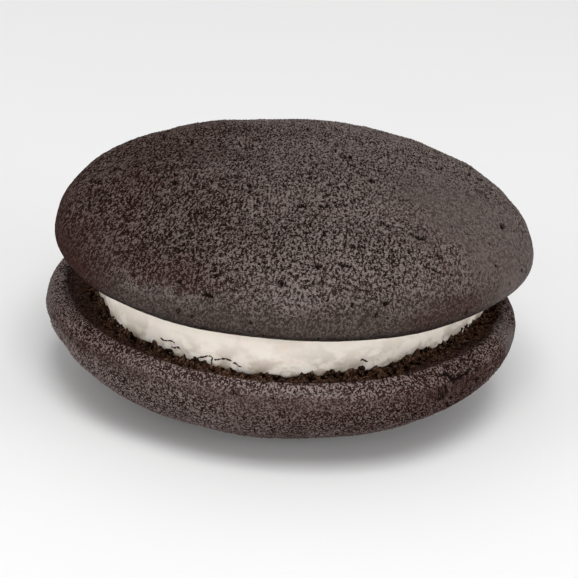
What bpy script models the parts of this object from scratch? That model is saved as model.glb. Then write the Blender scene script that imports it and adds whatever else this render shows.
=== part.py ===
"""A whoopie pie: two soft domed chocolate cakes with a thick layer of white cream between them.

The pie stands on the dome of its lower cake, which has settled into a small flat spot. Each cake
and the cream is one closed solid. Units are metres, +Z is up, and the origin is the centre of the
pie's box, at the level that it rests on.
"""

import math
from dataclasses import dataclass

import bmesh
import bpy
from mathutils import Matrix, Vector, noise

MM = 0.001


@dataclass(frozen=True)
class CakeShape:
    """What differs from one cake to the other.

    Each wave round the edge is its size as a share of the radius, how many there are in one turn,
    and the degrees to its first crest.
    """

    radius: float
    height: float
    crown_shift: tuple  # how far the crown baked off the cake's centre
    waves: tuple
    seed: float


# Driving dimensions
TOP = CakeShape(
    radius=45.0 * MM,
    height=17.8 * MM,
    crown_shift=(0.5 * MM, 0.0, 0.0),
    waves=((0.005, 2, -25), (0.012, 3, 0), (0.007, 5, -8), (0.002, 9, 20)),
    seed=22.92,
)
BOTTOM = CakeShape(
    radius=44.4 * MM,
    height=19.7 * MM,
    crown_shift=(-2.2 * MM, 1.2 * MM, 0.0),
    waves=((0.008, 2, 35), (0.012, 3, 47), (0.003, 5, 70), (0.002, 8, 10)),
    seed=47.58,
)
CAKE_GAP = 8.6 * MM  # between the lips of the two cakes
CREAM_RADIUS = 36.0 * MM
SETTLE = 0.9 * MM  # how far the lower dome has flattened under the pie's weight
TOP_SHIFT = Vector((0.6, 0.3, 0.0)) * MM  # the upper cake sits a little off centre
CLEARANCE = 0.3 * MM  # between the cream and the cakes

# One cake, with its flat face down
RIM_HEIGHT = 3.0 * MM  # level of the widest line of the rim
LIP_INSET = 3.2 * MM  # the flat face is this much smaller in radius than the rim
FACE_DISH = 0.5 * MM  # the face lies this deep behind the raised lip round its edge
DISH_WIDTH = 2.4 * MM  # width of the slope from the face out to the lip
DOME_POWER = 2.12  # 2 is an ellipse, and more gives a fuller shoulder

# Unevenness of the crust
SWELL_SPAN = 17.0 * MM  # distance between the broad swells of the dome
SWELL_RISE = 0.8 * MM
LUMP_SPAN = 6.0 * MM  # distance between the smaller lumps
LUMP_RISE = 0.28 * MM
RIM_SWAY = 0.5 * MM  # how far the rim wanders up and down
TEAR_SPAN = 2.4 * MM  # distance between the torn hollows of the open crumb round the cream
TEAR_DEPTH = 0.7 * MM

# The cream's outline, in waves as a cake's, and its side
CREAM_WAVES = ((0.036, 3, -105), (0.012, 5, -10), (0.009, 8, -100), (0.006, 13, -60))
CREAM_BULGE = 1.3 * MM  # how far the squeezed side stands out between the cakes
CREAM_LEAN = 0.9 * MM  # how much further in it meets the upper cake
CREAM_LUMP_SPAN = 5.5 * MM
CREAM_LUMP_RISE = 0.55 * MM

# Facets
TURN_STEPS = 84
FACE_RINGS = (0.40, 0.75, 0.88, 0.92, 0.96)  # as shares of the flat face's radius
DISH_RINGS = ((0.35, 0.8), (0.7, 0.3))  # shares of the slope's width and of the dish's depth
LIP_STEPS = 5
DOME_STEPS = 17
CREAM_FACE_RINGS = (0.45, 0.80, 0.93)
CREAM_SIDE_STEPS = 9


def wave(angle, waves):
    """Sum of cosine waves at an angle in radians."""
    return sum(
        size * math.cos(count * (angle - math.radians(crest)))
        for size, count, crest in waves
    )


def smooth_step(value, low, high):
    """0 below low, 1 above high, and a smooth rise between them."""
    share = min(1.0, max(0.0, (value - low) / (high - low)))
    return share * share * (3 - 2 * share)


def swirl(point, span, seed):
    """Smooth noise from about -1 to 1, with features about a span apart."""
    return noise.noise(point / span + Vector((seed, 2.7 * seed, -1.3 * seed)))


def cake_profile(shape):
    """Points (r, z) of one cake with its flat face down, from the face's centre to the crown."""
    radius, height = shape.radius, shape.height
    lip_radius = radius - LIP_INSET
    face_radius = lip_radius - DISH_WIDTH
    points = [(0.0, FACE_DISH)]
    points += [(share * face_radius, FACE_DISH) for share in FACE_RINGS]
    points.append((face_radius, FACE_DISH))
    points += [(face_radius + out * DISH_WIDTH, deep * FACE_DISH) for out, deep in DISH_RINGS]
    for step in range(LIP_STEPS + 1):
        turn = math.pi / 2 * step / LIP_STEPS
        points.append(
            (lip_radius + LIP_INSET * math.sin(turn), RIM_HEIGHT * (1 - math.cos(turn)))
        )
    for step in range(1, DOME_STEPS + 1):
        turn = math.pi / 2 * step / DOME_STEPS
        points.append(
            (
                radius * max(0.0, math.cos(turn)) ** (2 / DOME_POWER),
                RIM_HEIGHT + (height - RIM_HEIGHT) * math.sin(turn) ** (2 / DOME_POWER),
            )
        )
    points[-1] = (0.0, height)
    return points


def cream_profile(thickness):
    """Points (r, z) of the cream, from the centre of its underside to the centre of its top."""
    top_radius = CREAM_RADIUS - CREAM_LEAN
    points = [(0.0, 0.0)]
    points += [(share * CREAM_RADIUS, 0.0) for share in CREAM_FACE_RINGS]
    for step in range(CREAM_SIDE_STEPS + 1):
        share = step / CREAM_SIDE_STEPS
        points.append(
            (
                CREAM_RADIUS - CREAM_LEAN * share + CREAM_BULGE * math.sin(math.pi * share) ** 0.8,
                thickness * share,
            )
        )
    points += [(share * top_radius, thickness) for share in reversed(CREAM_FACE_RINGS)]
    points.append((0.0, thickness))
    return points


def turned(profile):
    """A closed bmesh: the profile spun once round the Z axis."""
    bm = bmesh.new()
    line = [bm.verts.new((r, 0.0, z)) for r, z in profile]
    edges = [bm.edges.new(pair) for pair in zip(line, line[1:])]
    bmesh.ops.spin(
        bm,
        geom=line + edges,
        cent=(0, 0, 0),
        axis=(0, 0, 1),
        angle=2 * math.pi,
        steps=TURN_STEPS,
        use_merge=True,
    )
    bmesh.ops.remove_doubles(bm, verts=bm.verts, dist=0.001 * MM)
    bmesh.ops.recalc_face_normals(bm, faces=bm.faces)
    return bm


def roughen_cake(bm, shape):
    """Gives a turned cake its uneven outline, swells and lumps, and tears its open crumb."""
    bm.normal_update()
    lip_edge = shape.radius - LIP_INSET
    face_edge = lip_edge - DISH_WIDTH
    moved = []
    for vert in bm.verts:
        out = math.hypot(vert.co.x, vert.co.y)
        angle = math.atan2(vert.co.y, vert.co.x)
        on_crust = smooth_step(vert.co.z, 0.6 * RIM_HEIGHT, 2.2 * RIM_HEIGHT)
        at_rim = smooth_step(out, face_edge, shape.radius)
        at_crown = 1 - smooth_step(out, 0.0, shape.radius)
        rise = SWELL_RISE * swirl(vert.co, SWELL_SPAN, shape.seed)
        rise += LUMP_RISE * swirl(vert.co, LUMP_SPAN, shape.seed + 5)
        sway = RIM_SWAY * swirl(vert.co, SWELL_SPAN, shape.seed + 9)
        on_crumb = smooth_step(out, 0.8 * face_edge, 0.9 * face_edge) * (
            1 - smooth_step(out, face_edge + 0.5 * DISH_WIDTH, lip_edge)
        )
        tear = TEAR_DEPTH * max(0.0, swirl(vert.co, TEAR_SPAN, shape.seed + 13))
        lift = sway * at_rim + (0.0 if on_crust else tear * on_crumb)
        grow = 1 + at_rim * wave(angle, shape.waves)
        moved.append(
            Vector((vert.co.x * grow, vert.co.y * grow, vert.co.z + lift))
            + (vert.normal * rise + Vector(shape.crown_shift) * at_crown) * on_crust
        )
    for vert, place in zip(bm.verts, moved):
        vert.co = place


def roughen_cream(bm, thickness, seed):
    """Gives the turned cream its wandering edge, with soft bulges on its side."""
    moved = []
    for vert in bm.verts:
        out = math.hypot(vert.co.x, vert.co.y)
        angle = math.atan2(vert.co.y, vert.co.x)
        at_side = smooth_step(out, 0.8 * CREAM_RADIUS, 0.97 * CREAM_RADIUS)
        between = math.sin(math.pi * vert.co.z / thickness)
        bulge = CREAM_LUMP_RISE * swirl(vert.co, CREAM_LUMP_SPAN, seed) * (0.4 + 0.6 * between)
        grow = 1 + at_side * (wave(angle, CREAM_WAVES) + bulge / CREAM_RADIUS)
        moved.append(Vector((vert.co.x * grow, vert.co.y * grow, vert.co.z)))
    for vert, place in zip(bm.verts, moved):
        vert.co = place


def settle(bm, level):
    """Flattens what hangs below a level, as a soft dome flattens on a table."""
    for vert in bm.verts:
        vert.co.z = max(vert.co.z, level)


def material(name, colour, roughness):
    """A plain Principled material."""
    made = bpy.data.materials.new(name)
    made.use_nodes = True
    shader = made.node_tree.nodes["Principled BSDF"]
    shader.inputs["Base Color"].default_value = (*colour, 1.0)
    shader.inputs["Roughness"].default_value = roughness
    shader.inputs["Metallic"].default_value = 0.0
    made.diffuse_color = (*colour, 1.0)
    return made


def add_object(name, bm, finish):
    """Turns a bmesh into a named, smooth object in the scene."""
    mesh = bpy.data.meshes.new(name)
    bm.to_mesh(mesh)
    bm.free()
    mesh.materials.append(finish)
    mesh.shade_smooth()
    made = bpy.data.objects.new(name, mesh)
    bpy.context.collection.objects.link(made)
    return made


def make_cake(name, shape, finish, place):
    """One cake at its place in the pie. The place is a matrix for a cake with its face down."""
    bm = turned(cake_profile(shape))
    roughen_cake(bm, shape)
    bm.transform(place)
    settle(bm, 0.0)
    return add_object(name, bm, finish)


def make_cream(finish, level):
    """The cream, which fills the space between the two cakes' faces."""
    thickness = CAKE_GAP + 2 * FACE_DISH - 2 * CLEARANCE
    bm = turned(cream_profile(thickness))
    roughen_cream(bm, thickness, seed=3.0)
    bm.transform(Matrix.Translation((0, 0, level - FACE_DISH + CLEARANCE)))
    return add_object("filling", bm, finish)


def centre_on_origin(objects):
    """Moves the whole pie sideways, so that its box is centred on the origin."""
    corners = [vert.co for obj in objects for vert in obj.data.vertices]
    low = Vector(min(co[axis] for co in corners) for axis in range(3))
    high = Vector(max(co[axis] for co in corners) for axis in range(3))
    shift = -(low + high) / 2
    shift.z = -low.z
    for obj in objects:
        obj.data.transform(Matrix.Translation(shift))


def main():
    """Builds the pie from the table upwards."""
    for obj in list(bpy.data.objects):
        bpy.data.objects.remove(obj)
    cake = material("chocolate_cake", (0.070, 0.045, 0.038), 0.75)
    cream = material("white_cream", (0.80, 0.74, 0.67), 0.5)

    bottom_face = BOTTOM.height - SETTLE
    top_face = bottom_face + CAKE_GAP
    turned_over = Matrix.Translation((0, 0, bottom_face)) @ Matrix.Rotation(math.pi, 4, "X")
    upright = Matrix.Translation(TOP_SHIFT + Vector((0, 0, top_face)))
    pie = [
        make_cake("cake_bottom", BOTTOM, cake, turned_over),
        make_cream(cream, bottom_face),
        make_cake("cake_top", TOP, cake, upright),
    ]
    centre_on_origin(pie)


main()
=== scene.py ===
"""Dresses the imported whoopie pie: two chocolate cakes, the cream between them and loose crumbs.

Each cake and the cream is modelled as rings drawn up from a disc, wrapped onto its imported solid
and given its grain by geometry nodes. The grain's pattern is written once, and the relief and the
colour both use it. Units are metres, +Z is up, and every piece stays in the part's own frame.
"""

import logging
import math
import random
from abc import ABC, abstractmethod
from collections.abc import Iterator
from contextlib import contextmanager
from dataclasses import dataclass, field
from enum import Enum
from functools import partialmethod
from typing import Any

import bpy
from mathutils import Matrix, Vector


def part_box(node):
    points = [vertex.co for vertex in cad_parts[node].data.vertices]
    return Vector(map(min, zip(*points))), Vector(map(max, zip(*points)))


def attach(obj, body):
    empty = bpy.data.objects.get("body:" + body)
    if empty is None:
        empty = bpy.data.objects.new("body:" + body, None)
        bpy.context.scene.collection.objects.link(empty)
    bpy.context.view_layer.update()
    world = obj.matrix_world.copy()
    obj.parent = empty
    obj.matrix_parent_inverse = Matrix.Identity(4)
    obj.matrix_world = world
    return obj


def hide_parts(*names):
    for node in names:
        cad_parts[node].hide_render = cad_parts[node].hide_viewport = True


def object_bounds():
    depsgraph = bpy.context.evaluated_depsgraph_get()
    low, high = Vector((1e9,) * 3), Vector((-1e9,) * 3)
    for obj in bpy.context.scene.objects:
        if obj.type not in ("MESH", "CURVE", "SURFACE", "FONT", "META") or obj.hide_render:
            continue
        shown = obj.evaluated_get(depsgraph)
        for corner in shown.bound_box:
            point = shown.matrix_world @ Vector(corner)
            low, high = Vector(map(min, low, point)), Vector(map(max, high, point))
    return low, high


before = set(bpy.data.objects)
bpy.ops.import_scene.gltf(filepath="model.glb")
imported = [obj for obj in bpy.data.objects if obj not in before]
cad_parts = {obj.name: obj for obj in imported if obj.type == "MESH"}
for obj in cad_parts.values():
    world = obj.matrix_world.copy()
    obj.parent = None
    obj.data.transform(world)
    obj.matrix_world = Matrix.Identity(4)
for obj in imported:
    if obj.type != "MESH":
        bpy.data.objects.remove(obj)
CAD_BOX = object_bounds()

MM = 0.001
OUTSIDE = (60 * MM, 0.0, 0.0)  # off every piece
BODY = "root"
LOG = logging.getLogger("whoopie_pie")

Colour = tuple[float, float, float]
Place = tuple[float, float, float]
Piece = bpy.types.Object
Node = bpy.types.Node
Range = tuple[float, float]
Settings = dict[str, Any] | None
Sockets = dict[str | int, Any] | None
FLAT = (1.0, 1.0, 0.0)  # times a place, leaves its height out
EASED = {"interpolation_type": "SMOOTHSTEP"}


class Side(Enum):
    """Which way a cake's crown points along Z."""

    LOWER = -1
    UPPER = 1


class Signal:
    """A value or a place on a node's socket. What is done to it adds nodes to its tree."""

    def __init__(self, sheet: "Sheet", socket: bpy.types.NodeSocket) -> None:
        """Wraps an output socket of a tree."""
        self.sheet = sheet
        self.socket = socket

    def _math(self, operation: str, other: Any, swapped: bool = False) -> "Signal":
        """Returns a Math node's result for self and other, or with swapped other and self."""
        pair = (other, self) if swapped else (self, other)
        return self.sheet.signal("ShaderNodeMath", {"operation": operation}, dict(enumerate(pair)))

    __add__ = __radd__ = partialmethod(_math, "ADD")
    __sub__ = partialmethod(_math, "SUBTRACT")
    __rsub__ = partialmethod(_math, "SUBTRACT", swapped=True)
    __mul__ = __rmul__ = partialmethod(_math, "MULTIPLY")
    __truediv__ = partialmethod(_math, "DIVIDE")
    __pow__ = partialmethod(_math, "POWER")
    maximum = partialmethod(_math, "MAXIMUM")

    def along(self, axis: str) -> "Signal":
        """Returns a place's X, Y or Z."""
        return self.sheet.signal("ShaderNodeSeparateXYZ", None, {0: self}, axis)

    def vector(self, operation: str, other: Any = None) -> "Signal":
        """Adds a Vector Math node.

        Args:
            operation: Blender's name of the operation.
            other: A vector, number or signal, where the operation has one.

        Returns:
            The result, a vector or a number.
        """
        sockets = {0: self}
        if other is not None:
            sockets["Scale" if operation == "SCALE" else 1] = other
        out = "Value" if operation in ("LENGTH", "DISTANCE", "DOT_PRODUCT") else "Vector"
        return self.sheet.signal("ShaderNodeVectorMath", {"operation": operation}, sockets, out)

    def off_axis(self) -> tuple["Signal", "Signal"]:
        """Returns a place's level direction from the Z axis, and its distance from it."""
        flat = self.vector("MULTIPLY", FLAT)
        return flat.vector("NORMALIZE"), flat.vector("LENGTH")

    def noise(
        self, span: float, detail: float = 2, rough: float = 0.5, shift: float = 0
    ) -> "Signal":
        """Soft noise at a place, from 0 to 1, with 0.5 as its middle.

        Args:
            span: Distance between its features.
            detail: Octaves beyond the first.
            rough: Strength of the finer octaves.
            shift: A distance along the pattern that gives another draw.

        Returns:
            The noise.
        """
        moved = self.vector("ADD", (shift, 0.37 * shift, -0.61 * shift))
        sockets = {"Vector": moved, "Scale": 1 / span, "Detail": detail, "Roughness": rough}
        return self.sheet.signal("ShaderNodeTexNoise", {"noise_dimensions": "3D"}, sockets)

    def warped(self, span: float, reach: float) -> "Signal":
        """A place pushed about by noise, which makes a pattern wander.

        Args:
            span: Distance between the pushes.
            reach: How far they go.

        Returns:
            The new place.
        """
        sockets = {"Vector": self, "Scale": 1 / span, "Detail": 1.0}
        push = self.sheet.signal("ShaderNodeTexNoise", {"noise_dimensions": "3D"}, sockets, 1)
        centred = push.vector("SUBTRACT", (0.5, 0.5, 0.5))
        return self.vector("ADD", centred.vector("SCALE", 2 * reach))

    def rise(self, low: Any, high: Any) -> "Signal":
        """Eases from 0 at low to 1 at high."""
        sockets = {"Value": self, "From Min": low, "From Max": high}
        return self.sheet.signal("ShaderNodeMapRange", EASED, sockets)

    def fall(self, low: Any, high: Any) -> "Signal":
        """Eases from 1 at low to 0 at high."""
        return 1 - self.rise(low, high)


class Sheet:
    """A node tree, and the ways to add nodes to it."""

    def __init__(self, tree: bpy.types.NodeTree) -> None:
        """Wraps a shader or geometry node tree."""
        self.tree = tree

    def node(self, kind: str, settings: Settings = None, sockets: Sockets = None) -> Node:
        """Adds a node.

        Args:
            kind: The node's type.
            settings: Its properties, which are set first.
            sockets: Values or signals for its inputs, by name or number.

        Returns:
            The new node.
        """
        made = self.tree.nodes.new(kind)
        for name, value in (settings or {}).items():
            setattr(made, name, value)
        self.fill(made, sockets)
        return made

    def fill(self, made: Node, sockets: Sockets) -> None:
        """Links the inputs of a node that get a signal, and sets the others.

        Args:
            made: The node.
            sockets: Values or signals for its inputs, by name or number.
        """
        for name, value in (sockets or {}).items():
            if isinstance(value, Signal):
                self.tree.links.new(value.socket, made.inputs[name])
            else:
                made.inputs[name].default_value = value

    def signal(
        self, kind: str, settings: Settings = None, sockets: Sockets = None, out: str | int = 0
    ) -> Signal:
        """Adds a node, as node does, and returns one of its outputs, by name or number."""
        return Signal(self, self.node(kind, settings, sockets).outputs[out])

    def kept(self, name: str, out: str = "Fac") -> Signal:
        """Returns what the relief stored under a name."""
        return self.signal("ShaderNodeAttribute", {"attribute_name": name}, None, out)

    def bump(self, distance: float, height: Signal) -> Signal:
        """Returns a normal that a height tilts, where the height is 1 at the distance."""
        sockets = {"Distance": distance, "Height": height}
        return self.signal("ShaderNodeBump", None, sockets, "Normal")

    def blend(self, share: Any, first: Any, second: Any) -> Signal:
        """Mixes two colours.

        Args:
            share: 0 for the first and 1 for the second.
            first: A colour or signal.
            second: A colour or signal.

        Returns:
            The mixed colour.
        """
        colours = [
            value if isinstance(value, Signal) else (*value, 1.0) for value in (first, second)
        ]
        settings = {"data_type": "RGBA", "clamp_factor": True}
        sockets = {0: share, 6: colours[0], 7: colours[1]}
        return self.signal("ShaderNodeMix", settings, sockets, 2)


@dataclass(frozen=True)
class CrustPattern:
    """The grain of baked cake. Spans are distances between features."""

    grain_span: float = 0.40 * MM
    fine_span: float = 0.25 * MM
    clump_span: float = 1.5 * MM
    even_weight: float = 0.50  # the three weights mix the grain
    fine_weight: float = 0.42
    clump_weight: float = 0.08
    contrast: float = 7.6
    pole: Place = (10 * MM, 160 * MM, 0.0)  # the grain is drawn out towards it
    drawn_out: float = 0.38  # of the grain's width, for its length towards the pole
    drawn_share: float = 0.8
    crease_span: float = 2.4 * MM
    crease_line: float = 0.0012  # of the noise's squared distance from its middle
    pore_span: float = 2.7 * MM
    pore_size: float = 0.24  # of the largest pore's radius, as a share of the span
    crag_span: float = 1.0 * MM
    crag_push: float = 0.4 * MM
    lump_weight: float = 0.6  # of the crumb's lumps, beside its holes

    def grains(self, place: Signal) -> Signal:
        """The leathery grain of the skin, drawn out towards a far pole.

        Args:
            place: Where the pattern is read.

        Returns:
            About 0 in the valleys, 0.5 on average and 1 on the grains.
        """
        outward, distance = place.vector("SUBTRACT", self.pole).off_axis()
        lengths = {"Y": 0.6 * place.along("Z"), "Z": self.drawn_out * distance}
        lengthwise = place.sheet.signal("ShaderNodeCombineXYZ", None, lengths)
        round_pole = outward.vector("SCALE", math.hypot(*self.pole))
        spokes = round_pole.vector("ADD", lengthwise)
        drawn = spokes.noise(0.85 * self.grain_span, 0.0, shift=0.2)
        even = place.noise(self.grain_span, 0.0)
        fine = place.noise(self.fine_span, 0.0, shift=0.9)
        clump = place.noise(self.clump_span, 0.0, shift=0.5)
        mixed = self.even_weight * (even + self.drawn_share * (drawn - even))
        mixed = mixed + self.fine_weight * fine + self.clump_weight * clump
        return 0.5 + self.contrast * (mixed - 0.5)

    def creases(self, place: Signal) -> Signal:
        """Short wrinkles where the skin drew together.

        Args:
            place: Where the pattern is read.

        Returns:
            0 on the skin and 1 in a crease.
        """
        soft = place.noise(self.crease_span, 2.5, 0.6, shift=0.3)
        patch = place.noise(4 * self.crease_span, 1.0, shift=0.9)
        line = (soft - 0.5) ** 2
        return line.fall(0.0, self.crease_line) * patch.rise(0.58, 0.7)

    def pores(self, place: Signal) -> Signal:
        """Small burst bubbles, in some of the cells only.

        Args:
            place: Where the pattern is read.

        Returns:
            0 on the skin and 1 in a pore.
        """
        sheet = place.sheet
        found = []
        for span in (self.pore_span, 0.45 * self.pore_span):
            moved = place.warped(0.3 * span, 0.07 * span)
            sockets = {"Vector": moved, "Scale": 1 / span}
            cells = sheet.node("ShaderNodeTexVoronoi", {"feature": "F1"}, sockets)
            family = "ShaderNode" if sheet.tree.type == "SHADER" else "FunctionNode"
            colour = Signal(sheet, cells.outputs["Color"])
            draw = sheet.signal(f"{family}SeparateColor", None, {0: colour})
            radius = self.pore_size * draw.rise(0.4, 1.05) + 0.001
            found.append((Signal(sheet, cells.outputs["Distance"]) / radius).fall(0.5, 1.15))
        return found[0].maximum(found[1])

    def crags(self, place: Signal) -> Signal:
        """The torn, open crumb of the flat face.

        Args:
            place: Where the pattern is read.

        Returns:
            0 in the holes and 1 on the crests.
        """
        lumps = place.noise(self.crag_span, 3.0, 0.62, shift=0.5)
        torn = place.warped(self.crag_span, self.crag_push)
        sockets = {"Vector": torn, "Scale": 0.9 / self.crag_span}
        holes = place.sheet.signal("ShaderNodeTexVoronoi", {"feature": "F1"}, sockets, "Distance")
        holes = holes.rise(0.1, 0.6)
        return self.lump_weight * lumps.rise(0.3, 0.7) + (1 - self.lump_weight) * holes


class Finish(ABC):
    """A material, told by what its shader's sockets get."""

    name: str

    @abstractmethod
    def sockets(self, sheet: Sheet) -> dict[str, Any]:
        """Returns the values and signals of the Principled shader's sockets."""

    def material(self) -> bpy.types.Material:
        """Builds the material.

        Returns:
            The finished material.
        """
        material = bpy.data.materials.new(self.name)
        material.use_nodes = True
        sheet = Sheet(material.node_tree)
        sheet.fill(material.node_tree.nodes["Principled BSDF"], self.sockets(sheet))
        return material


@dataclass(frozen=True)
class CakeFinish(Finish):
    """Dark chocolate cake: a dull, pored skin and a darker open crumb. Colours are linear."""

    name: str
    pattern: CrustPattern
    # painted highlight: pale glints on the grain tops and grit
    glint_speck: Colour = (0.215, 0.172, 0.158)
    skin: Colour = (0.074, 0.051, 0.046)
    skin_deep: Colour = (0.058, 0.038, 0.033)
    # painted shade over a redder tone, down one side of the skin
    ruddy_shade: Colour = (0.028, 0.0102, 0.0078)
    # the skin's low edge: a smoother, darker tone, partly painted shade
    band: Colour = (0.027, 0.0178, 0.0130)
    smooth: Colour = (0.080, 0.059, 0.053)
    # painted shade in the grain's valleys, creases, pores and marks
    hollow_shade: Colour = (0.010, 0.006, 0.005)
    shelf: Colour = (0.046, 0.019, 0.0145)
    crumb: Colour = (0.064, 0.031, 0.0185)
    # painted shade in the holes of the torn crumb
    crumb_shade: Colour = (0.003, 0.0015, 0.001)
    # painted highlight: glints on the crumb's crests
    crumb_glint: Colour = (0.200, 0.122, 0.084)
    ruddy_range: Range = (8 * MM, -30 * MM)  # the skin turns redder and darker along X: a redder tone and painted shade
    ruddy_edge: float = -26 * MM  # the smooth edge does so from here
    ruddy_sway: float = 34 * MM  # how far its border wanders
    ruddy_spot: Place = (30 * MM, -32 * MM, 29 * MM)  # and round this place: painted shade on the upper cake's lip, a reddish patch on the lower's
    spot_reach: float = 13 * MM
    spot_share: float = 0.6
    lip_shade: float = 0.7  # painted shade: how dark the underside of the lip is
    lip_glint: float = 0.0  # painted highlight: how much paler the grains on the lip are
    tint_share: float = 0.9  # of a colour mixed into another, where it is strongest
    blotch_share: float = 0.3
    least_grain: float = 0.1  # the share of the grain's painted glints and painted shade where the relief has none
    grit_share: float = 0.25
    ruddy_speck: float = 0.6  # the share of the painted glints that the reddish side, in painted shade, keeps
    crease_share: float = 0.7
    # shares of painted glints and painted shade on the shelf
    shelf_glint: float = 0.3
    shelf_shade: float = 0.6
    roughness: float = 0.5
    hollow_roughness: float = 0.3  # added in the hollows
    specular: float = 0.0
    sheen: float = 0.36  # coat weight of the unbroken skin
    sheen_roughness: float = 0.38
    grit_span: float = 0.30 * MM
    patch_span: float = 14 * MM
    blotch_span: float = 5 * MM
    relief: float = 0.16 * MM
    grit_relief: float = 0.35  # the three are shares of the relief
    grain_relief: float = 0.6
    pore_relief: float = 0.6

    def sockets(self, sheet: Sheet) -> dict[str, Any]:
        """Mixes skin and crumb, from the attributes that the cake's relief stores.

        Args:
            sheet: The material's tree.

        Returns:
            What the sockets get.
        """
        place = sheet.kept("rest", "Vector")
        names = ("grain", "mark", "face", "trench", "lip", "high", "smooth")
        share, mark, face, trench, lip, high, smooth = (sheet.kept(name) for name in names)
        grains = self.pattern.grains(place)
        pores = self.pattern.pores(place)
        creases = self.pattern.creases(place)
        crags = self.pattern.crags(place)
        grit = place.noise(self.grit_span, 1.0, 0.6, shift=0.7)
        patches = place.noise(self.patch_span, 2.0, 0.5, shift=0.2)
        blotches = place.noise(self.blotch_span, 2.0, 0.55, shift=0.4)

        # Painted shade over a redder tone: one side and a spot on the lip turn darker and redder,
        # with fewer glints and less coat; blotches add a reddish tone at random.
        across = place.along("X")
        side = (across + (patches - 0.5) * self.ruddy_sway).rise(*self.ruddy_range)
        edge_width = 0.3 * (self.ruddy_range[1] - self.ruddy_range[0])
        edge = across.rise(self.ruddy_edge, self.ruddy_edge + edge_width)
        side = side * high.rise(0.2, 0.8).maximum(edge)
        spot = place.vector("DISTANCE", self.ruddy_spot)
        spot = spot + blotches * self.spot_reach
        spot = spot.fall(0.9 * self.spot_reach, 1.8 * self.spot_reach) * high.fall(0.1, 0.5)
        side = side.maximum(self.spot_share * spot) * (1 - smooth)
        skin = sheet.blend(patches.rise(0.35, 0.65), self.skin_deep, self.skin)
        # The low edge turns to the band colour: partly its own tone, partly painted shade.
        skin = sheet.blend(self.tint_share * high.fall(0.0, 0.8), skin, self.band)
        ruddy_shade = self.blotch_share * blotches.rise(0.42, 0.7) + self.tint_share * side
        skin = sheet.blend(ruddy_shade, skin, self.ruddy_shade)
        skin = sheet.blend(self.tint_share * smooth, skin, self.smooth)
        grained = self.least_grain + (1 - self.least_grain) * share
        # Painted glints: the grain tops and grit are made paler, where light would catch them.
        glint_speck = grains.rise(0.58, 1.0) * grained + self.grit_share * grit.rise(0.55, 0.75)
        glint_speck = glint_speck * (1 - (1 - self.ruddy_speck) * side)
        glint_speck = glint_speck + self.lip_glint * lip * grains.rise(0.45, 0.9)
        skin = sheet.blend(self.tint_share * glint_speck, skin, self.glint_speck)
        # Painted shade: the valleys, grit, creases, pores and marks, and the lip's underside, are
        # darkened.
        hollow = grains.fall(-0.1, 0.40) * grained + self.grit_share * grit.fall(0.25, 0.45)
        hollow = hollow + self.crease_share * creases * share + pores * (0.5 + 0.5 * share) + mark
        skin = sheet.blend(hollow + self.lip_shade * lip, skin, self.hollow_shade)

        # Painted shade in the crumb's holes, painted glints on its crests.
        torn = crags.rise(0.32, 0.74) * (0.35 + 0.65 * grains.rise(0.1, 0.8))
        inside = sheet.blend(torn, self.crumb_shade, self.crumb)
        glints = self.tint_share * grit.rise(0.52, 0.64) * crags.rise(0.35, 0.8)
        inside = sheet.blend(glints, inside, self.crumb_glint)
        # Painted glints and painted shade in the valleys of the shelf.
        shelf = sheet.blend(self.shelf_glint * glint_speck, self.shelf, self.glint_speck)
        shelf = sheet.blend(self.shelf_shade * grains.fall(-0.1, 0.5), shelf, self.hollow_shade)
        colour = sheet.blend(face, skin, sheet.blend(trench, shelf, inside))

        height = self.grit_relief * grit + self.grain_relief * grains * (0.15 + 0.85 * share)
        height = height - self.pore_relief * pores
        whole = self.sheen * (1 - face) * (1 - self.tint_share * side) * hollow.fall(0.0, 0.6)
        return {
            "Base Color": colour,
            "Roughness": self.roughness + self.hollow_roughness * hollow,
            "Coat Weight": whole,
            "Coat Roughness": self.sheen_roughness,
            "Specular IOR Level": self.specular,
            "Normal": sheet.bump(self.relief, height),
        }


@dataclass(frozen=True)
class CreamFinish(Finish):
    """Whipped white filling: satin, slightly see-through, with faint smears of cake."""

    name: str = "white_cream"
    body: Colour = (0.90, 0.820, 0.735)
    # painted shade, in soft patches, strongest low on the cream
    shade: Colour = (0.42, 0.355, 0.29)
    smear: Colour = (0.36, 0.27, 0.18)
    smear_share: float = 0.7
    roughness: float = 0.42
    soft_roughness: float = 0.2  # added where the noise is high
    scatter: Colour = (1.0, 0.72, 0.5)
    scatter_depth: float = 1.6 * MM
    scatter_weight: float = 0.6
    soft_span: float = 3.0 * MM
    fine_span: float = 0.9 * MM
    relief: float = 0.10 * MM

    def sockets(self, sheet: Sheet) -> dict[str, Any]:
        """Mixes cream, painted shade and smears, from the attributes rest and low.

        Args:
            sheet: The material's tree.

        Returns:
            What the sockets get.
        """
        place, low = sheet.kept("rest", "Vector"), sheet.kept("low")
        drawn = place.vector("MULTIPLY", (0.6, 0.6, 1.2))
        soft = drawn.noise(self.soft_span, 3.0, 0.6, shift=0.1)
        fine = place.noise(self.fine_span, 3.0, 0.6, shift=0.6)
        # Painted shade, in soft patches, strongest low on the cream.
        shaded = soft.rise(0.42, 0.62) * (0.2 + 0.8 * low)
        colour = sheet.blend(shaded, self.body, self.shade)
        smeared = 0.6 * fine.rise(0.52, 0.66) + 0.7 * soft.rise(0.47, 0.62)
        colour = sheet.blend(self.smear_share * smeared * low.rise(0.45, 1.0), colour, self.smear)
        return {
            "Base Color": colour,
            "Roughness": self.roughness + self.soft_roughness * soft,
            "Subsurface Weight": self.scatter_weight,
            "Subsurface Radius": self.scatter,
            "Subsurface Scale": self.scatter_depth,
            "Normal": sheet.bump(self.relief, fine),
        }


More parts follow.
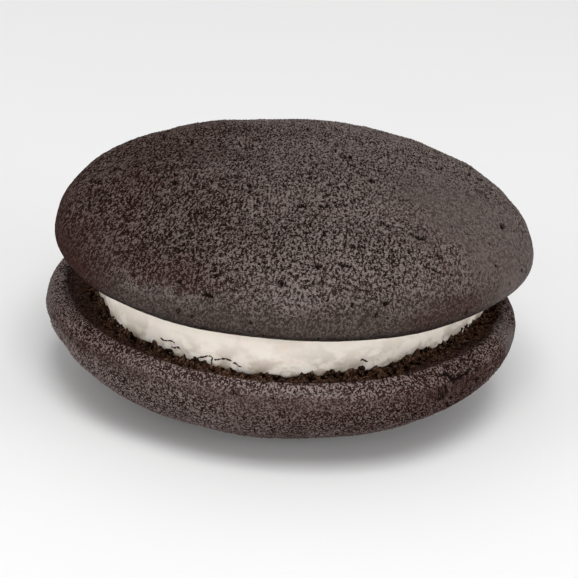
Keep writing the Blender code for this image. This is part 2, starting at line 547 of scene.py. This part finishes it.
@dataclass(frozen=True)
class CrumbFinish(Finish):
    """Loose crumbs: the cake's inside, a little different from crumb to crumb."""

    name: str
    light: Colour = (0.066, 0.036, 0.023)
    dark: Colour = (0.005, 0.0028, 0.002)
    roughness: float = 0.8
    specular: float = 0.0
    grain_span: float = 0.8 * MM
    relief: float = 0.12 * MM

    def sockets(self, sheet: Sheet) -> dict[str, Any]:
        """Mixes two colours by noise in Object coordinates.

        Args:
            sheet: The material's tree.

        Returns:
            What the sockets get.
        """
        place = sheet.signal("ShaderNodeTexCoord", None, None, "Object")
        grain = place.noise(self.grain_span, 3.0, 0.65)
        return {
            "Base Color": sheet.blend(grain.rise(0.35, 0.68), self.dark, self.light),
            "Roughness": self.roughness,
            "Specular IOR Level": self.specular,
            "Normal": sheet.bump(self.relief, grain),
        }


@dataclass(frozen=True)
class FloorFinish(Finish):
    """A pale matt board."""

    name: str = "pale_board"
    pale: Colour = (0.90, 0.90, 0.90)
    paler: Colour = (0.93, 0.93, 0.93)
    roughness: float = 0.9
    specular: float = 0.1
    cloud_span: float = 80 * MM

    def sockets(self, sheet: Sheet) -> dict[str, Any]:
        """Mixes two colours by noise in Object coordinates.

        Args:
            sheet: The material's tree.

        Returns:
            What the sockets get.
        """
        place = sheet.signal("ShaderNodeTexCoord", None, None, "Object")
        cloud = place.noise(self.cloud_span)
        return {
            "Base Color": sheet.blend(cloud, self.pale, self.paler),
            "Roughness": self.roughness,
            "Specular IOR Level": self.specular,
        }


def deselect_all() -> None:
    """Leaves nothing selected."""
    bpy.ops.object.select_all(action="DESELECT")


def make_active(piece: Piece) -> None:
    """Selects one object alone and makes it active.

    Args:
        piece: The object.
    """
    deselect_all()
    piece.select_set(True)
    bpy.context.view_layer.objects.active = piece


@contextmanager
def edit_mode(piece: Piece) -> Iterator[None]:
    """Works on a mesh in edit mode, and goes back to object mode at the end.

    Args:
        piece: The object to edit.

    Yields:
        Nothing: the block runs in edit mode.
    """
    make_active(piece)
    bpy.ops.object.mode_set(mode="EDIT")
    yield
    bpy.ops.object.mode_set(mode="OBJECT")


def modify(piece: Piece, kind: str, **settings: Any) -> None:
    """Adds a modifier, sets it and applies it.

    Args:
        piece: The object to change.
        kind: The modifier's type.
        settings: Its properties.
    """
    make_active(piece)
    modifier = piece.modifiers.new(kind.lower(), kind)
    for name, value in settings.items():
        setattr(modifier, name, value)
    bpy.ops.object.modifier_apply(modifier=modifier.name)


def draw_up(name: str, centre: Vector, sides: int, rings: list[tuple[float, float]]) -> Piece:
    """Models a round closed form: a disc, extruded and resized ring by ring.

    Args:
        name: The object's name.
        centre: A point on its axis. Ring levels are heights in the same frame.
        sides: Corners of each ring.
        rings: Radius and level of each ring, from the disc to the last cap.

    Returns:
        The object, with one wall between each two rings.
    """
    deselect_all()
    radius, level = rings[0]
    bpy.ops.mesh.primitive_circle_add(
        vertices=sides, radius=radius, fill_type="NGON", location=(centre.x, centre.y, level)
    )
    piece = bpy.context.active_object
    piece.name = piece.data.name = name
    bpy.ops.object.transform_apply(location=True, rotation=True, scale=True)
    with edit_mode(piece):
        bpy.ops.mesh.select_all(action="SELECT")
        for next_radius, next_level in rings[1:]:
            bpy.ops.mesh.extrude_region_move(
                TRANSFORM_OT_translate={"value": (0.0, 0.0, next_level - level)}
            )
            share = next_radius / radius
            bpy.ops.transform.resize(
                value=(share, share, 1.0), center_override=(centre.x, centre.y, next_level)
            )
            radius, level = next_radius, next_level
        bpy.ops.mesh.select_all(action="SELECT")
        bpy.ops.mesh.normals_make_consistent(inside=False)
    return piece


def count_triangles(piece: Piece) -> int:
    """Returns how many triangles a mesh has."""
    piece.data.calc_loop_triangles()
    return len(piece.data.loop_triangles)


def finish_piece(piece: Piece, node: str | None, material: bpy.types.Material) -> None:
    """Dresses a piece, ties it to the part and reports it.

    Args:
        piece: The finished mesh.
        node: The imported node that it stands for, if any.
        material: Its material.
    """
    piece.data.materials.clear()
    piece.data.materials.append(material)
    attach(piece, BODY)
    if node:
        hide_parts(node)
    LOG.info("%s: %d triangles", piece.name, count_triangles(piece))


@dataclass(frozen=True)
class Mark:
    """A pit or a short crease in a crown, seen from above. Its sizes are in millimetres."""

    x: float
    y: float
    width: float
    length: float = 0.0  # beyond the width
    turn: float = 0.0  # degrees from X

    def hollow(self, flat: Signal) -> Signal:
        """Marks the hollow.

        Args:
            flat: A place with no height.

        Returns:
            0 on the skin and 1 in the hollow.
        """
        offset = flat.vector("SUBTRACT", (self.x * MM, self.y * MM, 0.0))
        sockets = {"Vector": offset, "Angle": -math.radians(self.turn)}
        turned = flat.sheet.signal("ShaderNodeVectorRotate", {"rotation_type": "Z_AXIS"}, sockets)
        share = self.width / (self.width + self.length)
        away = turned.vector("MULTIPLY", (share, 1.0, 1.0)).vector("LENGTH")
        return away.fall(0.35 * self.width * MM, 0.6 * self.width * MM)


def stray_marks(count: int, seed: int) -> tuple[Mark, ...]:
    """Spreads pits and creases over the back of a crown.

    Args:
        count: How many.
        seed: Start of the draw.

    Returns:
        The marks.
    """
    draw = random.Random(seed)
    found = []
    for _ in range(count):
        angle, away = math.radians(draw.uniform(10, 205)), draw.uniform(10, 40)
        width, length, turn = draw.uniform(0.6, 1.2), draw.uniform(0.0, 2.2), draw.uniform(0, 180)
        found.append(Mark(away * math.cos(angle), away * math.sin(angle), width, length, turn))
    return tuple(found)


@dataclass
class Layer(ABC):
    """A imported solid, and the piece that is modelled over it."""

    node: str
    cage_sides: int = field(default=48, kw_only=True)
    mesh_grain: float = field(default=0.27 * MM, kw_only=True)  # size of the even mesh's faces
    smoothing: int = field(default=34, kw_only=True)  # steps that ease the solid's facets away

    def __post_init__(self) -> None:
        """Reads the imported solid's box."""
        self.low, self.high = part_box(self.node)
        self.centre = (self.low + self.high) / 2
        self.radius = (self.high.x - self.low.x + self.high.y - self.low.y) / 4

    @abstractmethod
    def rings(self) -> list[tuple[float, float]]:
        """Returns the radius and level of the cage's rings, in order."""

    @abstractmethod
    def relief(self, place: Signal, normal: Signal) -> tuple[dict[str, Signal], dict[str, Signal]]:
        """Returns the attributes to store, and what the Set Position node's socket gets."""

    def relief_tree(self) -> bpy.types.NodeTree:
        """Builds the geometry nodes that store the attributes and move the points.

        Returns:
            The node tree.
        """
        tree = bpy.data.node_groups.new(f"{self.node}_relief", "GeometryNodeTree")
        tree.is_modifier = True
        for way in ("INPUT", "OUTPUT"):
            tree.interface.new_socket("Geometry", in_out=way, socket_type="NodeSocketGeometry")
        sheet = Sheet(tree)
        place = sheet.signal("GeometryNodeInputPosition")
        values, move = self.relief(place, sheet.signal("GeometryNodeInputNormal"))
        geometry = sheet.signal("NodeGroupInput")
        for name, value in values.items():
            kind = "FLOAT_VECTOR" if name == "rest" else "FLOAT"
            settings = {"data_type": kind, "domain": "POINT"}
            sockets = {"Geometry": geometry, "Name": name, "Value": value}
            geometry = sheet.signal("GeometryNodeStoreNamedAttribute", settings, sockets)
        moved = sheet.signal("GeometryNodeSetPosition", None, {"Geometry": geometry, **move})
        sheet.node("NodeGroupOutput", None, {0: moved})
        return tree

    def model(self, name: str) -> Piece:
        """Draws up a cage, gives it an even mesh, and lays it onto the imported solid.

        Args:
            name: The piece's name.

        Returns:
            The piece, with its relief.
        """
        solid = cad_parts[self.node]
        piece = draw_up(name, self.centre, self.cage_sides, self.rings())
        modify(piece, "SUBSURF", levels=3, render_levels=3)
        modify(piece, "REMESH", mode="VOXEL", voxel_size=self.mesh_grain, use_smooth_shade=True)
        modify(piece, "SHRINKWRAP", target=solid, wrap_method="NEAREST_SURFACEPOINT")
        modify(piece, "SMOOTH", factor=0.5, iterations=self.smoothing)
        modify(piece, "NODES", node_group=self.relief_tree())
        return piece


@dataclass
class Cake(Layer):
    """One domed cake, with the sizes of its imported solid."""

    side: Side
    pattern: CrustPattern
    finish: CakeFinish
    axis: Place = (0.0, 0.0, 0.0)
    marks: tuple[Mark, ...] = ()
    band: Range = (3 * MM, 13 * MM)  # the heights between which the smooth edge ends
    band_grain: float = 0.12  # share of the grain that the smooth edge keeps
    band_sway: float = 5 * MM  # how far its border wanders
    lip_grain: float = 0.0  # share of the grain on the lip itself
    lip_grained: Range = (0.8 * MM, 2.4 * MM)  # the heights between which it ends
    lip_painted: Range = (1.5 * MM, 2.6 * MM)  # and between which the lip's painted shade and painted glints do
    calm_span: float = 13 * MM
    calm_share: float = 0.15  # how much fainter the grain is in places
    smooth_patch: Place = OUTSIDE
    smooth_reach: float = 1 * MM
    pitted_patch: Place = OUTSIDE
    pitted_reach: float = 1 * MM
    pit_span: float = 1.7 * MM
    wobble_span: float = 1.1 * MM  # bends the marks' outlines
    wobble: float = 0.3 * MM
    edge_span: float = 7 * MM  # between the waves in every border
    lip_inset: float = 3.2 * MM
    rim_height: float = 3.0 * MM
    face_dish: float = 0.5 * MM
    dish_width: float = 2.4 * MM
    dome_power: float = 2.12
    rim_rings: int = 3
    dome_rings: int = 10
    most_triangles: int = 190_000
    hidden_radius: float = 32 * MM
    lump_span: float = 3.6 * MM
    lump_rise: float = 0.16 * MM
    grain_rise: float = 0.12 * MM
    pore_depth: float = 0.35 * MM
    crease_depth: float = 0.12 * MM
    crag_rise: float = 1.0 * MM
    crumb_sink: float = 0.0  # of the open crumb
    crumb_width: float = 3.9 * MM  # how far the rough crumb reaches from the cream
    ridge_rise: float = 0.0  # of the lip round the crumb
    crumb_sway: float = 4 * MM
    crumb_lean: float = 0.0  # how much further the crumb reaches to the right
    lean_end: float = 22 * MM  # the X from which it does so in full
    face_edge: float = 0.8 * MM  # from skin to crumb
    face_sway: float = 1.6 * MM
    ridge_inside: Range = (-0.6 * MM, 0.3 * MM)  # its two slopes, from the flat face's edge
    ridge_outside: Range = (0.4 * MM, 1.6 * MM)
    clump_rise: float = 0.0  # of the crumb that clings to the cream's foot
    clump_span: float = 5 * MM
    clump_gap: Range = (0.6 * MM, 1.8 * MM)  # the distances from the cream between which it ends

    def __post_init__(self) -> None:
        """Finds the flat face too."""
        super().__post_init__()
        self.height = self.high.z - self.low.z
        self.face_level = self.low.z if self.side is Side.UPPER else self.high.z

    def rings(self) -> list[tuple[float, float]]:
        """Radius and level of the cage's rings, from the flat face to the crown.

        Returns:
            The rings in order.
        """
        lip = self.radius - self.lip_inset
        heights = [(lip - self.dish_width, self.face_dish), (lip, 0.0)]
        for step in range(1, self.rim_rings + 1):
            turn = math.pi / 2 * step / self.rim_rings
            heights.append(
                (lip + self.lip_inset * math.sin(turn), self.rim_height * (1 - math.cos(turn)))
            )
        for step in range(1, self.dome_rings):
            turn = math.pi / 2 * step / self.dome_rings
            power = 2 / self.dome_power
            heights.append(
                (
                    self.radius * math.cos(turn) ** power,
                    self.rim_height + (self.height - self.rim_height) * math.sin(turn) ** power,
                )
            )
        return [(radius, self.face_level + self.side.value * height) for radius, height in heights]

    def relief(self, place: Signal, normal: Signal) -> tuple[dict[str, Signal], dict[str, Signal]]:
        """The relief of crust and crumb, and the attributes that the finish reads.

        Args:
            place: The point's place.
            normal: Its normal.

        Returns:
            The attributes, and the point's new place.
        """
        sheet = place.sheet
        tall = (place.along("Z") - self.face_level) * self.side.value
        flat = place.vector("MULTIPLY", FLAT)
        out = flat.vector("DISTANCE", self.axis)
        inward = normal.vector("DOT_PRODUCT", (0.0, 0.0, -self.side.value))

        edge = place.noise(self.edge_span, 2.0, 0.6, shift=0.8) - 0.5
        high = (tall + edge * self.band_sway).rise(*self.band)
        patch = place.vector("DISTANCE", self.smooth_patch)
        grain = self.band_grain + (1 - self.band_grain) * high
        grain = grain.maximum(self.lip_grain * tall.fall(*self.lip_grained))
        wandering = patch + edge * self.smooth_reach
        smooth = wandering.fall(0.4 * self.smooth_reach, self.smooth_reach)
        calm = place.noise(self.calm_span, 1.0, shift=0.35).rise(0.4, 0.62)
        grain = grain * (1 - 0.7 * smooth) * (1 - self.calm_share * calm)
        wavy = place.warped(self.wobble_span, self.wobble).vector("MULTIPLY", FLAT)
        lip = self.radius - self.lip_inset
        crags = self.pattern.crags(place)
        pits = place.noise(self.pit_span, 1.0, shift=0.45).fall(0.41, 0.47)
        patch = place.vector("DISTANCE", self.pitted_patch)
        wandering = patch + edge * self.pitted_reach
        pitted = wandering.fall(0.5 * self.pitted_reach, self.pitted_reach)
        mark = pits * pitted
        for each in self.marks:
            mark = mark.maximum(each.hollow(wavy))
        ragged = out + edge * self.face_sway
        face = inward.rise(0.8, 0.95) * ragged.fall(lip - self.face_edge, lip)
        space, filling = {"transform_space": "RELATIVE"}, {"Object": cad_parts["filling"]}
        cream = sheet.signal("GeometryNodeObjectInfo", space, filling, "Geometry")
        faces = {"target_element": "FACES"}
        gap = sheet.signal("GeometryNodeProximity", faces, {0: cream}, "Distance")
        right = place.along("X").rise(0.0, self.lean_end)
        leaning = gap + edge * self.crumb_sway - self.crumb_lean * right
        trench = leaning.fall(0.4 * self.crumb_width, self.crumb_width)

        lumps = place.noise(self.lump_span, 2.0, 0.5, shift=0.1) - 0.5
        skin = 2 * self.lump_rise * lumps * (0.4 + 0.6 * high)
        skin = skin + self.grain_rise * (self.pattern.grains(place) - 0.5) * grain
        skin = skin - self.crease_depth * self.pattern.creases(place) * grain
        skin = skin - self.pore_depth * self.pattern.pores(place) * (0.3 + 0.7 * grain)
        skin = skin - mark * (2 * self.pore_depth)
        ridge = out.rise(*(lip + step for step in self.ridge_inside))
        ridge = ridge * out.fall(*(lip + step for step in self.ridge_outside))
        skin = skin + self.ridge_rise * ridge * inward.rise(0.0, 0.5)
        crumb = self.crag_rise * (crags - 0.55) * (0.3 + 0.7 * trench) - self.crumb_sink
        clump = flat.noise(self.clump_span, 3.0, 0.6, shift=0.6).rise(0.36, 0.62)
        teeth = 0.35 + 0.8 * crags
        crumb = crumb + self.clump_rise * clump * gap.fall(*self.clump_gap) * teeth
        rise = skin * (1 - face) + crumb * face

        values = {
            "rest": place,
            "grain": grain,
            "high": high,
            "smooth": smooth,
            "mark": mark,
            "face": face,
            "trench": trench,
            "lip": tall.fall(*self.lip_painted),
        }
        moved = place.vector("ADD", normal.vector("SCALE", rise))
        moved = moved.vector("MAXIMUM", (-OUTSIDE[0], -OUTSIDE[0], CAD_BOX[0][2]))
        return values, {"Position": moved}

    def thin_hidden_face(self, piece: Piece) -> None:
        """Makes one face of the part of the flat face that the cream covers.

        Args:
            piece: The cake.
        """
        with edit_mode(piece):
            bpy.ops.mesh.select_all(action="DESELECT")
            bpy.ops.mesh.select_mode(type="FACE")
        for polygon in piece.data.polygons:
            beside = (polygon.center - self.centre).xy.length
            off_face = abs(polygon.center.z - self.face_level)
            polygon.select = beside < self.hidden_radius and off_face < 3 * self.rim_height / 2
        with edit_mode(piece):
            bpy.ops.mesh.dissolve_faces()

    def build(self) -> Piece:
        """Models and dresses the cake.

        Returns:
            The finished piece.
        """
        piece = self.model(f"{self.node}_baked")
        self.thin_hidden_face(piece)
        modify(piece, "DECIMATE", ratio=min(1.0, self.most_triangles / count_triangles(piece)))
        piece.data.shade_smooth()
        finish_piece(piece, self.node, self.finish.material())
        return piece


@dataclass
class Cream(Layer):
    """The filling. It reaches a little into both cakes, so that no air shows."""

    finish: CreamFinish = field(default_factory=CreamFinish)
    side_bulge: float = 1.3 * MM
    reach: float = 1.4 * MM
    side_rings: int = 6
    fold_span: float = 4.5 * MM
    fold_rise: float = 0.6 * MM
    tear_span: float = 1.3 * MM
    tear_rise: float = 0.30 * MM

    def rings(self) -> list[tuple[float, float]]:
        """Radius and level of the cage's rings, upwards.

        Returns:
            The rings in order.
        """
        thick = self.high.z - self.low.z
        rings = []
        for step in range(self.side_rings + 1):
            share = step / self.side_rings
            bulge = self.side_bulge * math.sin(math.pi * share)
            rings.append((self.radius - self.side_bulge + bulge, self.low.z + thick * share))
        return rings

    def relief(self, place: Signal, normal: Signal) -> tuple[dict[str, Signal], dict[str, Signal]]:
        """Soft folds on the side, and a ragged tear along its lower edge.

        Args:
            place: The point's place.
            normal: Its normal.

        Returns:
            The attributes, and how far the point moves.
        """
        half = (self.high.z - self.low.z) / 2
        share = (place.along("Z") - self.centre.z) / half
        low = share.fall(-1.0, 0.1)
        drawn = place.vector("MULTIPLY", (0.5, 0.5, 1.3))
        folds = drawn.noise(self.fold_span, 2.0, 0.45, shift=0.2) - 0.5
        tears = place.noise(self.tear_span, 3.0, 0.6, shift=0.7) - 0.5
        rise = 2 * self.fold_rise * folds + 2 * self.tear_rise * tears * low.rise(0.3, 1.0)
        upright = normal.vector("DOT_PRODUCT", (0.0, 0.0, 1.0))
        side = 1 - (upright * upright).rise(0.5, 0.9)
        offset = normal.vector("SCALE", rise * side)
        spread = place.sheet.signal("ShaderNodeCombineXYZ", None, {"Z": share * self.reach})
        return {"rest": place, "low": low}, {"Offset": offset.vector("ADD", spread)}

    def build(self) -> Piece:
        """Models and dresses the cream.

        Returns:
            The finished piece.
        """
        piece = self.model("cream_spread")
        piece.data.shade_smooth()
        finish_piece(piece, self.node, self.finish.material())
        return piece


@dataclass
class Scatter(ABC):
    """Small shapes that are copied to many places and joined."""

    name: str
    finish: CrumbFinish
    cream: Piece
    level: float  # of the lower cake's flat face

    @abstractmethod
    def shapes(self) -> list[Piece]:
        """Returns the models that are copied in turn, at the origin."""

    @abstractmethod
    def places(self) -> list[Matrix]:
        """Returns a matrix for each copy."""

    def build(self) -> Piece:
        """Copies the shapes into place, joins the copies and dresses them.

        Returns:
            The finished piece.
        """
        shapes = self.shapes()
        copies = []
        for number, place in enumerate(self.places()):
            mesh = shapes[number % len(shapes)].data.copy()
            mesh.transform(place)
            copy = bpy.data.objects.new(self.name, mesh)
            bpy.context.scene.collection.objects.link(copy)
            copies.append(copy)
        for spare in shapes:
            bpy.data.objects.remove(spare)
        make_active(copies[0])
        for copy in copies:
            copy.select_set(True)
        bpy.ops.object.join()
        piece = bpy.context.active_object
        piece.name = piece.data.name = self.name
        piece.data.shade_smooth()
        finish_piece(piece, None, self.finish.material())
        return piece


@dataclass
class Crumbs(Scatter):
    """Loose crumbs, heaped where the cream meets the lower cake and strewn on its flat face."""

    cake: Piece
    kinds: int = 6
    heaps: int = 30
    heaped: int = 420
    strewn: int = 200
    smallest: float = 0.30 * MM
    largest: float = 1.15 * MM
    lowest_heap: float = 0.5 * MM
    tallest_heap: float = 1.9 * MM
    heap_spread: float = 0.8
    sink: float = 0.4 * MM  # of the heaps' foot under the flat face
    fineness: float = 1.8  # above 1, small crumbs are the most common
    strewn_size: float = 0.7  # of the heaped crumbs'
    strewn_reach: float = 6 * MM
    strewn_drop: float = 3 * MM  # from this high onto the face
    ring: float = 37 * MM  # radius at which the heaps lie
    seed: int = 11

    def shape(self, number: int) -> Piece:
        """Models one torn crumb about 1 across, at the origin.

        Args:
            number: Which of the shapes it is.

        Returns:
            The crumb.
        """
        deselect_all()
        bpy.ops.mesh.primitive_cube_add(size=0.72, location=(0, 0, 0))
        crumb = bpy.context.active_object
        crumb.name = f"crumb_shape_{number}"
        draw = random.Random(self.seed + number)
        with edit_mode(crumb):
            bpy.ops.mesh.select_all(action="SELECT")
            bpy.ops.mesh.subdivide(number_cuts=1)
            bpy.ops.transform.tosphere(value=0.6)
            bpy.ops.transform.resize(
                value=(draw.uniform(0.7, 1.3), draw.uniform(0.6, 1.0), draw.uniform(0.5, 0.9))
            )
            bpy.ops.transform.vertex_random(offset=0.16, seed=number)
            bpy.ops.mesh.quads_convert_to_tris()
            bpy.ops.mesh.normals_make_consistent(inside=False)
        return crumb

    def shapes(self) -> list[Piece]:
        """Models all the kinds of crumb."""
        return [self.shape(number) for number in range(self.kinds)]

    def places(self) -> list[Matrix]:
        """Draws where each crumb lies.

        Returns:
            A matrix for each crumb.
        """
        draw = random.Random(self.seed)
        heaps = [
            (draw.uniform(-math.pi, math.pi), draw.uniform(self.lowest_heap, self.tallest_heap))
            for _ in range(self.heaps)
        ]
        found = []
        for number in range(self.heaped + self.strewn):
            middle, tall = draw.choice(heaps)
            beside = draw.gauss(0.0, self.heap_spread)
            angle = middle + beside * tall / self.ring
            height = self.level - self.sink + tall * math.exp(-beside * beside) * draw.random()
            size = self.smallest + (self.largest - self.smallest) * draw.random() ** self.fineness
            if number >= self.heaped:
                angle, size = draw.uniform(-math.pi, math.pi), self.strewn_size * size
            outward = Vector((math.cos(angle), math.sin(angle), 0.0))
            hit, spot, _normal, _face = self.cream.ray_cast(
                outward * OUTSIDE[0] + Vector((0, 0, height)), -outward
            )
            if hit and number >= self.heaped:
                away = outward * draw.random() ** 1.5 * self.strewn_reach
                above = spot + away + Vector((0, 0, self.strewn_drop))
                hit, spot, _normal, _face = self.cake.ray_cast(above, Vector((0, 0, -1)))
            if not hit:
                continue
            axis = Vector((draw.gauss(0, 1), draw.gauss(0, 1), draw.gauss(0, 1)))
            turn = Matrix.Rotation(draw.uniform(0, 2 * math.pi), 4, axis)
            found.append(Matrix.Translation(spot) @ turn @ Matrix.Scale(size, 4))
        return found


@dataclass(frozen=True)
class Streak:
    """The run of one hair-thin smear along the cream: an arc, or a loop if it closes."""

    angle: float  # degrees round the cream, at its middle
    height: float  # above the lower cake's flat face
    length: float
    wave: float = 0.25 * MM
    loop: float = 0.0  # height of the loop, if it is one


@dataclass
class Streaks(Scatter):
    """Dark threads of crumb that were drawn through the cream."""

    runs: tuple[Streak, ...]
    step: float = 0.35 * MM
    thick: float = 0.26 * MM
    ring: float = 37 * MM
    overlap: float = 1.6  # bits for each step of the run
    jitter: float = 0.05 * MM
    loop_bend: float = 0.22  # how far a loop is from an ellipse
    seed: int = 5

    def shapes(self) -> list[Piece]:
        """Models one piece of thread, about 1 long, at the origin.

        Returns:
            The piece alone.
        """
        deselect_all()
        bpy.ops.mesh.primitive_ico_sphere_add(subdivisions=1, radius=0.5, location=(0, 0, 0))
        bit = bpy.context.active_object
        bit.name = "thread_shape"
        with edit_mode(bit):
            bpy.ops.mesh.select_all(action="SELECT")
            bpy.ops.transform.vertex_random(offset=0.1, seed=self.seed)
        return [bit]

    def places(self) -> list[Matrix]:
        """Lays the bits along every run.

        Returns:
            A matrix for each bit.
        """
        draw = random.Random(self.seed)
        found = []
        for run in self.runs:
            count = max(6, round(self.overlap * (run.length + 2 * run.loop) / self.step))
            phase = draw.uniform(0, 2 * math.pi)
            for number in range(count):
                share = number / count
                turn = 2 * math.pi * share
                if run.loop:
                    bent = 1 + self.loop_bend * math.sin(3 * turn + phase)
                    along = 0.5 * run.length * bent * math.cos(turn)
                    rise = 0.5 * run.loop * bent * math.sin(turn + self.loop_bend)
                else:
                    along = run.length * (share - 0.5)
                    rise = run.wave * math.sin(0.8 * turn + phase)
                angle = math.radians(run.angle) + along / self.ring
                height = self.level + run.height + rise + draw.uniform(-self.jitter, self.jitter)
                outward = Vector((math.cos(angle), math.sin(angle), 0.0))
                hit, spot, _normal, _face = self.cream.ray_cast(
                    outward * 2 * self.ring + Vector((0, 0, height)), -outward
                )
                if not hit:
                    continue
                slope = turn + math.pi / 2 if run.loop else 0.0
                face_out = Matrix.Rotation(angle + math.pi / 2, 4, "Z")
                face_out = face_out @ Matrix.Rotation(-slope, 4, "Y")
                thick = self.thick * draw.uniform(0.5, 1.7)
                size = Matrix.Diagonal((self.step * draw.uniform(1.0, 1.6), thick, thick, 1.0))
                found.append(Matrix.Translation(spot) @ face_out @ size)
        return found


@dataclass(frozen=True)
class Softbox:
    """A square soft light that points at the pie."""

    name: str
    place: Place
    width: float
    power: float


@dataclass
class Studio:
    """The floor, the lights and the camera."""

    aim: Vector
    distance: float = 0.6
    elevation: float = 23.8
    roll: float = 3.9
    field_width: float = 109.8 * MM  # what the picture takes in at the pie
    sensor_width: float = 36.0  # millimetres, like the lens
    floor_width: float = 6.0
    world_strength: float = 0.5
    softboxes: tuple[Softbox, ...] = (
        Softbox("key", (0.05, -0.50, 0.95), 0.5, 5.6),
        Softbox("front", (-0.05, -1.15, 0.22), 0.9, 2.2),
        Softbox("left", (-0.95, -0.60, 0.14), 0.6, 4.6),
        Softbox("right", (1.00, -0.50, 0.18), 0.6, 5.6),
    )

    def floor(self) -> None:
        """Lays the floor at the part's lowest point."""
        deselect_all()
        bpy.ops.mesh.primitive_plane_add(size=self.floor_width, location=(0, 0, CAD_BOX[0][2]))
        floor = bpy.context.active_object
        floor.name = "floor"
        floor.data.materials.append(FloorFinish().material())

    def lights(self) -> None:
        """Hangs the softboxes and sets the even light of the room."""
        for box in self.softboxes:
            data = bpy.data.lights.new(box.name, "AREA")
            data.size = box.width
            data.energy = box.power
            lamp = bpy.data.objects.new(box.name, data)
            bpy.context.scene.collection.objects.link(lamp)
            lamp.location = box.place
            lamp.rotation_euler = (self.aim - lamp.location).to_track_quat("-Z", "Y").to_euler()
        world = bpy.data.worlds.new("room")
        world.use_nodes = True
        background = world.node_tree.nodes["Background"]
        background.inputs["Color"].default_value = (1.0, 1.0, 1.0, 1.0)
        background.inputs["Strength"].default_value = self.world_strength
        bpy.context.scene.world = world

    def camera(self) -> None:
        """Sets up the camera."""
        scene = bpy.context.scene
        data = bpy.data.cameras.new("camera")
        data.sensor_width = self.sensor_width
        data.lens = self.sensor_width * self.distance / self.field_width
        camera = bpy.data.objects.new("camera", data)
        scene.collection.objects.link(camera)
        up = math.radians(self.elevation)
        away = Vector((0.0, -math.cos(up), math.sin(up)))
        camera.location = self.aim + away * self.distance
        look = (-away).to_track_quat("-Z", "Y").to_matrix().to_4x4()
        roll = Matrix.Rotation(math.radians(self.roll), 4, "Z")
        camera.rotation_euler = (look @ roll).to_euler()
        scene.camera = camera
        scene.view_settings.view_transform = "Standard"

    def build(self) -> None:
        """Sets up everything round the pie."""
        self.floor()
        self.lights()
        self.camera()
        LOG.info("studio: %d softboxes", len(self.softboxes))


def main() -> None:
    """Builds the pie from the table upwards, and the studio round it."""
    logging.basicConfig(level=logging.INFO, format="%(name)s: %(message)s")
    lower_pattern = CrustPattern(drawn_share=0.2)
    upper_pattern = CrustPattern()
    lower_finish = CakeFinish(
        "lower_cake",
        lower_pattern,
        glint_speck=(0.215, 0.165, 0.153),
        skin=(0.070, 0.047, 0.042),
        skin_deep=(0.048, 0.030, 0.025),
        ruddy_shade=(0.028, 0.0115, 0.0094),
        band=(0.040, 0.021, 0.018),
        smooth=(0.046, 0.036, 0.032),
        ruddy_range=(-20 * MM, 24 * MM),
        ruddy_edge=12 * MM,
        ruddy_spot=(-32 * MM, -22 * MM, 19 * MM),
        spot_reach=15 * MM,
        spot_share=0.9,
        lip_shade=0.0,
        lip_glint=0.5,
    )
    lower = Cake(
        "cake_bottom",
        Side.LOWER,
        lower_pattern,
        lower_finish,
        band=(1.5 * MM, 6.5 * MM),
        band_grain=0.3,
        calm_share=0.3,
        axis=(-0.7 * MM, -0.1 * MM, 0.0),
        lip_grain=0.6,
        crumb_sink=0.25 * MM,
        ridge_rise=0.4 * MM,
        clump_rise=1.4 * MM,
        crumb_lean=1.4 * MM,
        smooth_patch=(42 * MM, -11 * MM, 17.2 * MM),
        smooth_reach=5.5 * MM,
        pitted_patch=(33 * MM, -30 * MM, 16 * MM),
        pitted_reach=8 * MM,
    )
    upper = Cake(
        "cake_top",
        Side.UPPER,
        upper_pattern,
        CakeFinish("upper_cake", upper_pattern),
        marks=(
            Mark(14, -6, 1.5),
            Mark(1.5, -18.5, 1.3, 0.8),
            Mark(6, -18, 0.9, 2.2, 10),
            Mark(16.5, -21, 1.0, 2.2, -30),
            Mark(22.5, -23, 0.9, 2.4, -10),
            Mark(20, -12, 0.8, 1.2, 30),
            Mark(26, -30, 0.9, 0.5),
            Mark(11, -29.5, 1.0, 0.6, 40),
            Mark(9.5, -34.5, 1.0, 1.4, -20),
            Mark(5, -36, 0.8, 1.0, 90),
            Mark(39, -7.5, 1.0, 1.6, 70),
            Mark(-1, -40.5, 0.9),
            Mark(-13, -39, 0.7),
            Mark(-16, -37.5, 0.7),
            Mark(-14, -41.5, 0.5, 1.6, -20),
            Mark(17.5, -39.5, 0.6, 0.6, 40),
            Mark(11.5, -41.5, 0.6),
            *stray_marks(16, 3),
        ),
        axis=(-0.1 * MM, 0.2 * MM, 0.0),
        smooth_patch=(32 * MM, -10 * MM, 37 * MM),
        smooth_reach=21 * MM,
    )
    lower_piece = lower.build()
    cream_piece = Cream("filling", mesh_grain=0.42 * MM, smoothing=10).build()
    upper.build()
    crumb = CrumbFinish("loose_crumb")
    Crumbs("loose_crumbs", crumb, cream_piece, lower.face_level, lower_piece).build()
    threads = (
        Streak(-124, 1.8 * MM, 3.4 * MM),
        Streak(-121, 1.1 * MM, 2.0 * MM),
        Streak(-106, 1.5 * MM, 3.0 * MM),
        Streak(-102, 0.9 * MM, 1.6 * MM),
        Streak(-111, 0.7 * MM, 2.6 * MM, loop=1.8 * MM),
        Streak(-66, 1.5 * MM, 1.5 * MM),
        Streak(38, 1.7 * MM, 2.8 * MM),
        Streak(143, 2.0 * MM, 2.2 * MM),
    )
    crumb = CrumbFinish("crumb_thread")
    Streaks("crumb_threads", crumb, cream_piece, lower.face_level, threads).build()
    Studio(aim=Vector((0.25 * MM, 0.0, 18.9 * MM))).build()


if __name__ == "__main__":
    main()
